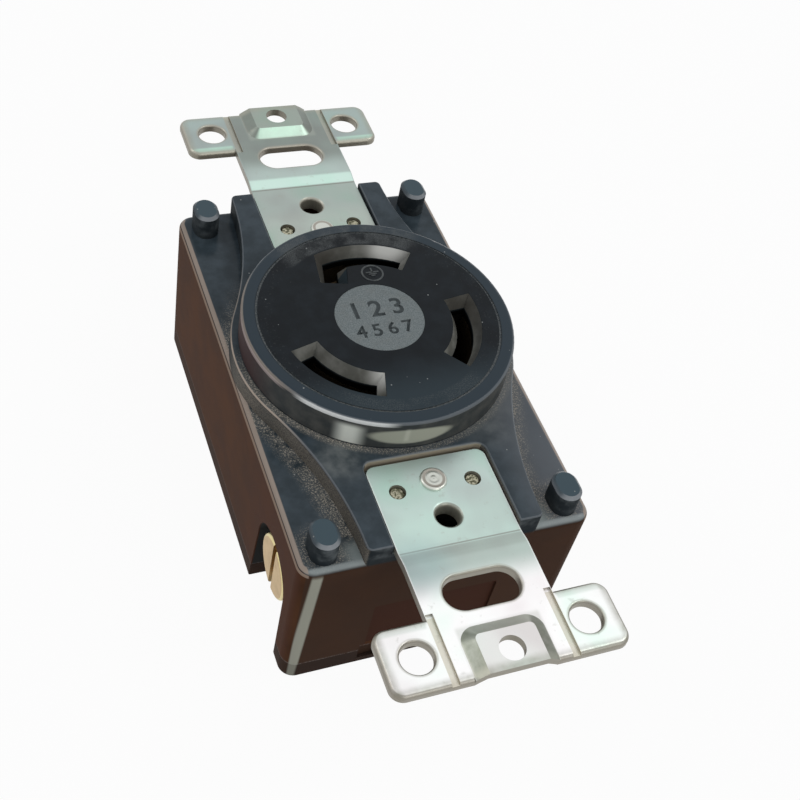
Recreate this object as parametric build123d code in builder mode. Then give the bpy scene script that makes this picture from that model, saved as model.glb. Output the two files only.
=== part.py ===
from build123d import *
from math import atan2, cos, degrees, radians, sin
import os

# Flush twist lock receptacle for a wall box, standing on its rear face with the plug face up.
# X runs across the body, Y along the mounting straps, Z out of the wall. The origin is the
# middle of the rear face. Sizes are in millimetres.

# Body
body_width = 41.0
body_length = 67.0
body_corner = 2.2
rim_radius = 1.05
wall = 2.2
cover_thickness = 3.3
strap_plane = 28.45
land_drop = 2.4
platform_rise = 0.7
face_rise = 5.8
edge_round = 0.35

# Platform and posts
shoulder_inset = 0.2
strip_half_width = 12.2
strip_corner = 0.8
post_side_inset = 3.6
post_end_inset = 3.4
post_length = 4.9
post_width = 3.7
post_rise = 1.55
post_chamfer = 0.45

# Round face and its slots, angles in degrees from +X
face_radius = 19.25
face_round = 0.6
face_wall = 3.0
ring_radius = 17.3
ring_width = 0.3
ring_depth = 0.18
mouth_inner_radius = 10.35
mouth_outer_radius = 14.6
funnel_inset = 0.95
funnel_depth = 1.8
left_slot_start = -164.6
right_slot_start = -50.6
slot_sweep = 59.3
ground_slot_start = 52.6
ground_slot_end = 112.3
hook_root_angle = 98.5
hook_tip_left = (-6.25, 7.8)
hook_tip_right = (-2.38, 6.94)
twist_angle = 12.0
disc_radius = 6.4
disc_thickness = 0.8
disc_sink = 0.06

# Mounting straps
strap_thickness = 1.2
strap_half_width = 8.5
strap_inner_end = 20.8
strap_outer_end = 53.3
strap_corner = 1.3
bend_start = 34.5
bend_run = 1.9
bend_rise = 0.45
bend_radius = 5.0
ear_reach = 15.8
ear_inner_edge = 44.1
ear_corner = 1.8
ear_edge_round = 0.7
ear_hole_x = 11.27
ear_hole_y = 48.72
ear_hole_radius = 2.15
slot_y = 41.65
slot_length = 10.3
slot_width = 4.9
hole_mouth_round = 0.35
plate_hole_y = 30.15
plate_hole_radius = 1.65
plate_collar_radius = 2.45
plate_collar_drop = 1.0
plate_hole_round = 0.6
emboss_rise = 0.95
emboss_half_width = 3.95
emboss_inner_end = 48.0
emboss_slope = 1.6
emboss_corner = 0.7
emboss_hole_y = 50.78
emboss_hole_radius = 1.7
score_x = 7.95
score_width = 1.0
score_depth = 0.4
recess_end_clearance = 0.5
recess_side_clearance = 0.25

# Strap rivets and assembly screws
rivet_y = 24.45
rivet_radius = 1.2
rivet_head_radius = 1.85
rivet_head_height = 0.4
rivet_head_round = 0.3
rivet_tail_radius = 2.0
rivet_tail_height = 0.8
screw_x = 5.34
screw_y = 25.32
screw_radius = 1.1
screw_hole_clearance = 0.15
screw_tip_sink = 0.35
screw_head_radius = 2.2
screw_head_height = 1.6
screw_head_sink = 0.3
screw_slot_width = 0.6
screw_slot_depth = 0.7

# Terminal wells, screws, clamps and contacts
well_y = 23.35
well_radius = 5.9
well_height = 13.55
well_flare = 1.55
well_depth = 7.9
terminal_y = 24.0
terminal_height = 14.15
terminal_head_radius = 4.65
terminal_head_height = 2.3
terminal_head_dome = 0.5
terminal_slot_width = 1.1
terminal_slot_depth = 1.2
terminal_shank_radius = 1.9
terminal_shank_clearance = 0.15
terminal_tip_reach = 1.4
clamp_size = 8.4
clamp_corner = 3.0
clamp_thickness = 1.2
wire_gap = 3.2
tail_level = 7.0
tail_thickness = 1.2
tail_setback = 0.8
tail_half_length = 3.8
tail_plate_height = 10.0
leaf_thickness = 0.8
leaf_gap_base = 1.1
leaf_gap_pinch = 0.65
leaf_gap_mouth = 1.3
leaf_pinch_height = 24.0
leaf_clearance = 0.3
pocket_clearance = 0.3
fit_clearance = 0.1
link_thickness = 0.8
link_half_width = 2.3
link_foot = 1.8
tail_angle = 52.0
rest_y = 13.5
rest_width = 2.6
rest_length = 7.0
pocket_turn = 1.5
hook_pocket_floor = 16.0
plate_screw_floor = 14.0

# Shallow marks moulded into the outside
gauge_length = 14.0
gauge_width = 3.0
gauge_depth = 0.5
panel_half_width = 9.0
panel_top = 14.65
panel_corner = 0.8
panel_depth = 0.35
pry_x = 8.45
pry_width = 2.5
pry_rise = 1.5
pry_drop = 2.0
pry_depth = 0.6

# Levels and places that follow from the sizes above
land_level = strap_plane - land_drop
platform_level = strap_plane + platform_rise
face_level = strap_plane + face_rise
post_level = strap_plane + post_rise
recess_floor = strap_plane - strap_thickness
ceiling = land_level - wall - 0.3
drum_ceiling = face_level - face_wall
drum_radius = face_radius - wall
half_width = body_width / 2
half_length = body_length / 2
shoulder_radius = half_width - shoulder_inset
shoulder_overhang = shoulder_radius - strip_half_width
strip_side_radius = (strip_half_width**2 + half_length**2 - shoulder_radius**2) / (2 * shoulder_overhang)
strip_side_x = strip_half_width + strip_side_radius
strip_root_angle = degrees(atan2(half_length, strip_side_x))
post_x = half_width - post_side_inset
post_y = half_length - post_end_inset
leaf_radius = (mouth_inner_radius + mouth_outer_radius) / 2
leaf_top = drum_ceiling - leaf_clearance
tail_top = tail_level + tail_thickness
clamp_outer_x = half_width - terminal_head_height
plate_outer_x = clamp_outer_x - clamp_thickness - wire_gap
plate_inner_x = plate_outer_x - tail_thickness
well_inner_x = half_width - well_depth
tail_inner_x = leaf_radius * cos(radians(tail_angle))
tail_outer_x = plate_inner_x - tail_setback
link_leg_width = plate_inner_x - terminal_tip_reach - pocket_clearance - tail_inner_x
ear_level = strap_plane + bend_rise

os.makedirs("parts", exist_ok=True)


def curved_slot(start, inset):
    """Outline of a plug slot that follows the face circle, smaller all round by the inset."""
    turn = degrees(inset / leaf_radius)
    with BuildSketch() as outline:
        with BuildLine():
            near = CenterArc((0, 0), mouth_inner_radius + inset, start + turn, slot_sweep - 2 * turn)
            far = CenterArc((0, 0), mouth_outer_radius - inset, start + turn, slot_sweep - 2 * turn)
            Line(near @ 0, far @ 0)
            Line(near @ 1, far @ 1)
        make_face()
    return outline.sketch


def ground_slot(inset):
    """Outline of the ground slot, whose left end turns in as a hook."""
    turn = degrees(inset / leaf_radius)
    start = ground_slot_start + turn
    across = (Vector(*hook_tip_right) - Vector(*hook_tip_left)).normalized()
    inward = across.rotate(Axis.Z, 90)
    tip_left = Vector(*hook_tip_left) + (across + inward) * inset
    tip_right = Vector(*hook_tip_right) + (inward - across) * inset
    with BuildSketch() as outline:
        with BuildLine():
            far = CenterArc((0, 0), mouth_outer_radius - inset, start, ground_slot_end - turn - start)
            near = CenterArc((0, 0), mouth_inner_radius + inset, start, hook_root_angle + turn - start)
            Polyline(far @ 1, tip_left, tip_right, near @ 1)
            Line(near @ 0, far @ 0)
        make_face()
    return outline.sketch


slot_mouths = [curved_slot(left_slot_start, 0), curved_slot(right_slot_start, 0), ground_slot(0)]
slot_throats = [
    curved_slot(left_slot_start, funnel_inset),
    curved_slot(right_slot_start, funnel_inset),
    ground_slot(funnel_inset),
]

# The three terminal wells: side of the body, end of the body
well_sides = [(-1, -1), (1, -1), (1, 1)]


def well_outline(end):
    """Arched outline of a terminal well, seen from the side, open at the rear."""
    with BuildSketch(Plane.YZ) as outline:
        with Locations((end * well_y, well_height)):
            Circle(well_radius)
        Polygon(
            (end * (well_y + well_radius), -1),
            (end * (well_y + well_radius), well_height),
            (end * (well_y - well_radius), well_height),
            (end * (well_y - well_radius - well_flare), -1),
            align=None,
        )
    return outline.sketch


def well_cut(side, end):
    """Solid that opens one terminal well through the wall, the base and the cover."""
    inner_outline = well_outline(end).moved(Location((side * well_inner_x, 0, 0)))
    return extrude(inner_outline, amount=side * (well_depth + 1))


well_cuts = [well_cut(side, end) for side, end in well_sides]

# Front housing: body, platform, posts and drum are one moulding, cored out from the rear
with BuildPart() as front_housing:
    with BuildSketch(Plane.XY.offset(cover_thickness)):
        RectangleRounded(body_width, body_length, body_corner)
    extrude(amount=land_level - cover_thickness)
    fillet(front_housing.faces().sort_by(Axis.Z)[-1].edges(), rim_radius)
    with BuildSketch(Plane.XY.offset(ceiling)) as platform_outline:
        # A shoulder circle, with a strip to each end whose side arcs run on from it smoothly
        with BuildLine():
            CenterArc((0, 0), shoulder_radius, -strip_root_angle, 2 * strip_root_angle)
            CenterArc((strip_side_x, half_length), strip_side_radius, 180, strip_root_angle)
            CenterArc((strip_side_x, -half_length), strip_side_radius, 180, -strip_root_angle)
            mirror(about=Plane.YZ)
            Line((-strip_half_width, half_length), (strip_half_width, half_length))
            Line((-strip_half_width, -half_length), (strip_half_width, -half_length))
        make_face()
        fillet(platform_outline.vertices().filter_by(lambda v: abs(v.Y) > half_length - 0.01), strip_corner)
    extrude(amount=platform_level - ceiling)
    for end in (-1, 1):
        recess_far = strap_outer_end
        recess_near = strap_inner_end - recess_end_clearance
        recess_width = 2 * (strap_half_width + recess_side_clearance)
        with BuildSketch(Plane.XY.offset(recess_floor)):
            with Locations((0, end * (recess_near + recess_far) / 2)):
                RectangleRounded(recess_width, recess_far - recess_near, strap_corner)
        extrude(amount=platform_level - recess_floor + 1, mode=Mode.SUBTRACT)
    fillet(front_housing.faces().filter_by(Axis.Z).group_by(Axis.Z)[-1].edges(), edge_round)
    with BuildSketch(Plane.XY.offset(ceiling)):
        Circle(face_radius)
    extrude(amount=face_level - ceiling)
    fillet(front_housing.faces().sort_by(Axis.Z)[-1].edges(), face_round)
    with BuildSketch(Plane.XY.offset(ceiling)):
        with Locations([(x * post_x, y * post_y) for x in (-1, 1) for y in (-1, 1)]):
            SlotOverall(post_length, post_width, rotation=90)
    extrude(amount=post_level - ceiling)
    flat_faces = front_housing.faces().filter_by(Axis.Z)
    post_tops = flat_faces.filter_by_position(Axis.Z, post_level - 0.01, post_level + 0.01)
    chamfer(post_tops.edges(), post_chamfer)
    # Shallow sunk panel in each end wall, with a pry notch beside it at the parting line
    for end in (-1, 1):
        with BuildSketch(Plane.XZ.offset(-end * half_length)):
            with Locations((0, (panel_top + cover_thickness) / 2 - panel_corner)):
                RectangleRounded(
                    2 * panel_half_width, panel_top - cover_thickness + 2 * panel_corner, panel_corner
                )
        extrude(amount=end * panel_depth, mode=Mode.SUBTRACT)
        with BuildSketch(Plane.XZ.offset(-end * half_length)):
            with Locations((end * pry_x, cover_thickness)):
                Rectangle(pry_width, 2 * pry_rise)
        extrude(amount=end * pry_depth, mode=Mode.SUBTRACT)
    # Cavity for the contact base, and the drum above it
    with BuildSketch(Plane.XY.offset(cover_thickness)):
        RectangleRounded(body_width - 2 * wall, body_length - 2 * wall, body_corner)
    extrude(amount=ceiling - cover_thickness, mode=Mode.SUBTRACT)
    with BuildSketch(Plane.XY.offset(ceiling)):
        Circle(drum_radius)
    extrude(amount=drum_ceiling - ceiling, mode=Mode.SUBTRACT)
    # Plug slots: a funnel at the face, then a straight throat
    for mouth, throat in zip(slot_mouths, slot_throats):
        with BuildSketch(Plane.XY.offset(face_level)):
            add(mouth)
        with BuildSketch(Plane.XY.offset(face_level - funnel_depth)):
            add(throat)
        loft(mode=Mode.SUBTRACT)
        with BuildSketch(Plane.XY.offset(drum_ceiling)):
            add(throat)
        extrude(amount=face_wall, mode=Mode.SUBTRACT)
    # Seat of the rating disc, and the fine ring line
    with BuildSketch(Plane.XY.offset(face_level - disc_thickness - disc_sink)):
        Circle(disc_radius)
    extrude(amount=disc_thickness + disc_sink, mode=Mode.SUBTRACT)
    with BuildSketch(Plane.XY.offset(face_level - ring_depth)):
        Circle(ring_radius)
        Circle(ring_radius - ring_width, mode=Mode.SUBTRACT)
    extrude(amount=ring_depth, mode=Mode.SUBTRACT)
    # Holes under the straps
    with BuildSketch(Plane.XY.offset(ceiling)):
        with Locations([(x * screw_x, y * screw_y) for x in (-1, 1) for y in (-1, 1)]):
            Circle(screw_radius + screw_hole_clearance)
        with Locations([(0, -rivet_y), (0, rivet_y)]):
            Circle(rivet_radius)
        with Locations([(0, -plate_hole_y), (0, plate_hole_y)]):
            Circle(plate_collar_radius + pocket_clearance)
    extrude(amount=recess_floor - ceiling, mode=Mode.SUBTRACT)
    for cut in well_cuts:
        add(cut, mode=Mode.SUBTRACT)
front_housing.part.label = "front_housing"
export_step(front_housing.part, "parts/front_housing.step")

# Rear cover: flat moulded plate with countersunk seats for the assembly screw heads
with BuildPart() as rear_cover:
    with BuildSketch():
        RectangleRounded(body_width, body_length, body_corner)
    extrude(amount=cover_thickness)
    fillet(rear_cover.faces().sort_by(Axis.Z)[0].edges(), edge_round)
    with Locations([(x * screw_x, y * screw_y, 0) for x in (-1, 1) for y in (-1, 1)]):
        with Locations(Rotation(180, 0, 0)):
            CounterBoreHole(
                screw_radius + screw_hole_clearance,
                screw_head_radius + screw_hole_clearance,
                screw_head_sink + screw_head_height,
                cover_thickness,
            )
    # Rests that hold the contact tails up against the base
    with BuildSketch(Plane.XY.offset(cover_thickness)):
        with Locations([(x * (tail_inner_x + tail_outer_x) / 2, y * rest_y) for x, y in well_sides]):
            Rectangle(rest_width, rest_length)
    extrude(amount=tail_level - cover_thickness)
    # Groove that shows how much of a wire to strip
    with BuildSketch():
        SlotOverall(gauge_length, gauge_width, rotation=90)
    extrude(amount=gauge_depth, mode=Mode.SUBTRACT)
    for end in (-1, 1):
        with BuildSketch(Plane.XZ.offset(-end * half_length)):
            with Locations((end * pry_x, cover_thickness)):
                Rectangle(pry_width, 2 * pry_drop)
        extrude(amount=end * pry_depth, mode=Mode.SUBTRACT)
    for cut in well_cuts:
        add(cut, mode=Mode.SUBTRACT)
rear_cover.part.label = "rear_cover"
export_step(rear_cover.part, "parts/rear_cover.step")

# Rating disc: thin insert pressed into the middle of the face
with BuildPart() as rating_disc:
    with BuildSketch(Plane.XY.offset(face_level - disc_thickness - disc_sink)):
        Circle(disc_radius)
    extrude(amount=disc_thickness)
    chamfer(rating_disc.faces().sort_by(Axis.Z)[-1].edges(), disc_sink)
rating_disc.part.label = "rating_disc"
export_step(rating_disc.part, "parts/rating_disc.step")

# Upper mounting strap: pressed steel, stepped up past the housing, with two break-off ears
with BuildPart() as mounting_strap_top:
    strap_side = [
        (strap_inner_end, strap_plane),
        (bend_start, strap_plane),
        (bend_start + bend_run, strap_plane + bend_rise),
        (strap_outer_end, strap_plane + bend_rise),
    ]
    with BuildSketch(Plane.YZ) as strap_profile:
        with BuildLine():
            top_line = Polyline(*strap_side)
            low_line = Polyline(*[(y, z - strap_thickness) for y, z in strap_side])
            Line(top_line @ 0, low_line @ 0)
            Line(top_line @ 1, low_line @ 1)
        make_face()
        fillet(strap_profile.vertices().group_by(Axis.X)[1:-1], bend_radius)
    extrude(amount=ear_reach, both=True)
    with BuildSketch(Plane.XY.offset(recess_floor - 1)) as strap_outline:
        with Locations((0, (strap_inner_end + strap_outer_end) / 2)):
            Rectangle(2 * strap_half_width, strap_outer_end - strap_inner_end)
        with Locations((0, (ear_inner_edge + strap_outer_end) / 2)):
            Rectangle(2 * ear_reach, strap_outer_end - ear_inner_edge)
        ear_points = strap_outline.vertices().filter_by(lambda v: abs(v.X) > ear_reach - 0.1)
        fillet(ear_points, ear_corner)
        fillet(strap_outline.vertices().group_by(Axis.Y)[0], strap_corner)
    extrude(amount=3 * strap_thickness + bend_rise, mode=Mode.INTERSECT)
    top_edges = mounting_strap_top.edges().filter_by(lambda e: e.center().Z > ear_level - 0.01)
    fillet(top_edges.filter_by(lambda e: e.center().Y > ear_inner_edge - 0.01), ear_edge_round)
    # Raised pad at the outer end: pushed up from below, so it is hollow underneath
    pad_near = emboss_inner_end - emboss_slope
    pad_far = strap_outer_end + emboss_slope
    pad_width = 2 * (emboss_half_width + emboss_slope)
    with BuildSketch(Plane.XY.offset(ear_level)):
        with Locations((0, (pad_near + strap_outer_end) / 2)):
            Rectangle(pad_width, strap_outer_end - pad_near)
    extrude(amount=-ear_edge_round)
    for level, mode in ((ear_level, Mode.ADD), (ear_level - strap_thickness, Mode.SUBTRACT)):
        with BuildSketch(Plane.XY.offset(level)):
            with Locations((0, (pad_near + pad_far) / 2)):
                RectangleRounded(pad_width, pad_far - pad_near, emboss_corner + emboss_slope)
        with BuildSketch(Plane.XY.offset(level + emboss_rise)):
            with Locations((0, (emboss_inner_end + pad_far) / 2)):
                RectangleRounded(2 * emboss_half_width, pad_far - emboss_inner_end, emboss_corner)
        loft(mode=mode)
    with BuildSketch(Plane.XY.offset(recess_floor)):
        with Locations((0, strap_outer_end + emboss_slope)):
            Rectangle(pad_width, 2 * emboss_slope)
    extrude(amount=2 * strap_thickness + bend_rise + emboss_rise, mode=Mode.SUBTRACT)
    # Score lines along which the ears break off
    with BuildSketch(Plane.XZ.offset(-ear_inner_edge + 0.5)):
        with Locations((-score_x, ear_level), (score_x, ear_level)):
            Rectangle(score_width, 2 * score_depth)
    extrude(amount=-(strap_outer_end - ear_inner_edge + 1), mode=Mode.SUBTRACT)
    # Collar drawn down round the cover plate screw hole, then the holes
    with BuildSketch(Plane.XY.offset(recess_floor)):
        with Locations((0, plate_hole_y)):
            Circle(plate_collar_radius)
    extrude(amount=-plate_collar_drop)
    with BuildSketch(Plane.XY.offset(recess_floor - plate_collar_drop)):
        with Locations((0, plate_hole_y)):
            Circle(plate_hole_radius)
        with Locations((-screw_x, screw_y), (screw_x, screw_y)):
            Circle(screw_radius + screw_hole_clearance / 3)
        with Locations((0, rivet_y)):
            Circle(rivet_radius)
        with Locations((0, slot_y)):
            SlotOverall(slot_length, slot_width)
        with Locations((-ear_hole_x, ear_hole_y), (ear_hole_x, ear_hole_y)):
            Circle(ear_hole_radius)
        with Locations((0, emboss_hole_y)):
            Circle(emboss_hole_radius)
    extrude(amount=strap_thickness + plate_collar_drop + bend_rise + emboss_rise + 1, mode=Mode.SUBTRACT)
    circles = mounting_strap_top.edges().filter_by(GeomType.CIRCLE)
    plate_hole_rim = circles.sort_by_distance((0, plate_hole_y, strap_plane))[0]
    fillet(plate_hole_rim, plate_hole_round)
    top_faces = mounting_strap_top.faces().filter_by(Axis.Z)
    ear_top = top_faces.filter_by_position(Axis.Z, ear_level - 0.01, ear_level + 0.01)
    fillet([wire.edges() for face in ear_top for wire in face.inner_wires()], hole_mouth_round)
mounting_strap_top.part.label = "mounting_strap_top"
export_step(mounting_strap_top.part, "parts/mounting_strap_top.step")

# Lower mounting strap: the same pressing turned end for end
with BuildPart() as mounting_strap_bottom:
    add(mounting_strap_top.part.rotate(Axis.Z, 180))
mounting_strap_bottom.part.label = "mounting_strap_bottom"
export_step(mounting_strap_bottom.part, "parts/mounting_strap_bottom.step")

# Strap rivets: domed head on the strap, tail upset under the housing ceiling
for end, name in ((1, "strap_rivet_top"), (-1, "strap_rivet_bottom")):
    tail_seat = ceiling - (link_thickness if end == 1 else 0)
    with BuildPart() as strap_rivet:
        for level, top, radius in (
            (tail_seat - rivet_tail_height, tail_seat, rivet_tail_radius),
            (tail_seat, strap_plane, rivet_radius),
            (strap_plane, strap_plane + rivet_head_height, rivet_head_radius),
        ):
            with BuildSketch(Plane.XY.offset(level)):
                with Locations((0, end * rivet_y)):
                    Circle(radius)
            extrude(amount=top - level)
        fillet(strap_rivet.faces().sort_by(Axis.Z)[-1].edges(), rivet_head_round)
    strap_rivet.part.label = name
    export_step(strap_rivet.part, f"parts/{name}.step")

# Assembly screws: from the rear cover up through the base into the straps
screw_places = [(x, y) for y in (1, -1) for x in (-1, 1)]
for number, (x, y) in enumerate(screw_places, start=1):
    with BuildPart() as assembly_screw:
        with BuildSketch(Plane.XY.offset(screw_head_sink)):
            with Locations((x * screw_x, y * screw_y)):
                Circle(screw_head_radius)
        extrude(amount=screw_head_height)
        chamfer(assembly_screw.faces().sort_by(Axis.Z)[0].edges(), screw_head_sink)
        with BuildSketch(Plane.XY.offset(screw_head_sink)):
            with Locations((x * screw_x, y * screw_y)):
                Rectangle(2 * screw_head_radius, screw_slot_width)
        extrude(amount=screw_slot_depth, mode=Mode.SUBTRACT)
        with BuildSketch(Plane.XY.offset(screw_head_sink + screw_head_height)):
            with Locations((x * screw_x, y * screw_y)):
                Circle(screw_radius)
        extrude(amount=strap_plane - screw_tip_sink - screw_head_sink - screw_head_height)
        chamfer(assembly_screw.faces().sort_by(Axis.Z)[-1].edges(), screw_radius / 4)
    assembly_screw.part.label = f"assembly_screw_{number}"
    export_step(assembly_screw.part, f"parts/assembly_screw_{number}.step")

# Contacts: two sprung leaves on an arc, with a tail that bends up as the terminal plate
leaf_profile = [
    (leaf_gap_base + leaf_thickness, tail_level),
    (leaf_gap_pinch + leaf_thickness, leaf_pinch_height),
    (leaf_gap_mouth + leaf_thickness, leaf_top),
    (leaf_gap_mouth, leaf_top),
    (leaf_gap_pinch, leaf_pinch_height),
    (leaf_gap_base, tail_top),
]
contacts = [
    ("line_contact_left", left_slot_start, slot_sweep, -1, -1),
    ("line_contact_right", right_slot_start, slot_sweep, 1, -1),
    ("ground_contact", ground_slot_start, ground_slot_end - ground_slot_start, 1, 1),
]
contact_turn = degrees(funnel_inset / leaf_radius)
for name, start, sweep, side, end in contacts:
    first = start + contact_turn - twist_angle
    last = start + sweep - contact_turn
    radial = (cos(radians(first)), sin(radians(first)), 0)
    tangent = (sin(radians(first)), -cos(radians(first)), 0)
    with BuildPart() as contact:
        with BuildSketch(Plane(origin=(0, 0, 0), x_dir=radial, z_dir=tangent)):
            with BuildLine():
                outer_side = Polyline(*[(leaf_radius + r, z) for r, z in leaf_profile])
                inner_side = Polyline(*[(leaf_radius - r, z) for r, z in leaf_profile])
                Line(outer_side @ 0, inner_side @ 0)
                Line(outer_side @ 1, inner_side @ 1)
            make_face()
        revolve(axis=Axis.Z, revolution_arc=last - first)
        tail_start_y = leaf_radius * abs(sin(radians(tail_angle)))
        tail_end_y = terminal_y + tail_half_length
        with BuildSketch(Plane.XY.offset(tail_level)):
            with Locations((side * (tail_inner_x + tail_outer_x) / 2, end * (tail_start_y + tail_end_y) / 2)):
                Rectangle(tail_outer_x - tail_inner_x, tail_end_y - tail_start_y)
            with Locations((side * (tail_inner_x + plate_outer_x) / 2, end * terminal_y)):
                Rectangle(plate_outer_x - tail_inner_x, 2 * tail_half_length)
        extrude(amount=tail_thickness)
        with BuildSketch(Plane.XY.offset(tail_level)):
            with Locations((side * (plate_inner_x + plate_outer_x) / 2, end * terminal_y)):
                Rectangle(tail_thickness, 2 * tail_half_length)
        extrude(amount=tail_plate_height)
        outer_face = Location((side * plate_outer_x, end * terminal_y, terminal_height), (0, side * 90, 0))
        with Locations(outer_face):
            Hole(terminal_shank_radius + fit_clearance / 2, depth=tail_thickness)
    contact.part.label = name
    export_step(contact.part, f"parts/{name}.step")

# Terminal clamps and screws, one set in each well
terminals = [("line", "left", -1, -1), ("line", "right", 1, -1), ("ground", "", 1, 1)]
for kind, place, side, end in terminals:
    clamp_name = "_".join(filter(None, (kind, "clamp", place)))
    screw_name = "_".join(filter(None, (kind, "screw", place)))
    outward = Plane(origin=(0, end * terminal_y, terminal_height), x_dir=(0, 1, 0), z_dir=(side, 0, 0))
    with BuildPart() as clamp:
        with BuildSketch(outward.offset(clamp_outer_x - clamp_thickness)):
            RectangleRounded(clamp_size, clamp_size, clamp_corner)
            Circle(terminal_shank_radius + terminal_shank_clearance, mode=Mode.SUBTRACT)
        extrude(amount=clamp_thickness)
    clamp.part.label = clamp_name
    export_step(clamp.part, f"parts/{clamp_name}.step")
    with BuildPart() as terminal_screw:
        with BuildSketch(outward.offset(plate_inner_x - terminal_tip_reach)):
            Circle(terminal_shank_radius)
        extrude(amount=clamp_outer_x - plate_inner_x + terminal_tip_reach)
        with BuildSketch(outward.offset(clamp_outer_x)):
            Circle(terminal_head_radius)
        extrude(amount=terminal_head_height)
        fillet(terminal_screw.faces().sort_by(Axis.X)[0 if side < 0 else -1].edges(), terminal_head_dome)
        with BuildSketch(outward.offset(half_width)):
            Rectangle(terminal_slot_width, 2 * terminal_head_radius)
        extrude(amount=-terminal_slot_depth, mode=Mode.SUBTRACT)
    terminal_screw.part.label = screw_name
    export_step(terminal_screw.part, f"parts/{screw_name}.step")

# Ground link: strip under the top strap rivet, bent down on to the tail of the ground contact
with BuildPart() as ground_link:
    link_level = ceiling - link_thickness
    link_leg_x = tail_inner_x + link_leg_width / 2
    with BuildSketch(Plane.XY.offset(link_level)):
        with Locations((0, rivet_y)):
            Circle(link_half_width)
        with Locations(((tail_inner_x + link_leg_width) / 2, rivet_y)):
            Rectangle(tail_inner_x + link_leg_width, 2 * link_half_width)
        with Locations((0, rivet_y)):
            Circle(rivet_radius, mode=Mode.SUBTRACT)
        with Locations((screw_x, screw_y)):
            Circle(screw_radius + 2 * screw_hole_clearance, mode=Mode.SUBTRACT)
    extrude(amount=link_thickness)
    link_leg_y = rivet_y - link_half_width + link_thickness / 2
    with BuildSketch(Plane.XY.offset(tail_top)):
        with Locations((link_leg_x, link_leg_y)):
            Rectangle(link_leg_width, link_thickness)
    extrude(amount=link_level - tail_top)
    with BuildSketch(Plane.XY.offset(tail_top)):
        with Locations((link_leg_x, link_leg_y + link_foot / 2)):
            Rectangle(link_leg_width, link_thickness + link_foot)
    extrude(amount=link_thickness)
ground_link.part.label = "ground_link"
export_step(ground_link.part, "parts/ground_link.step")

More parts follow.
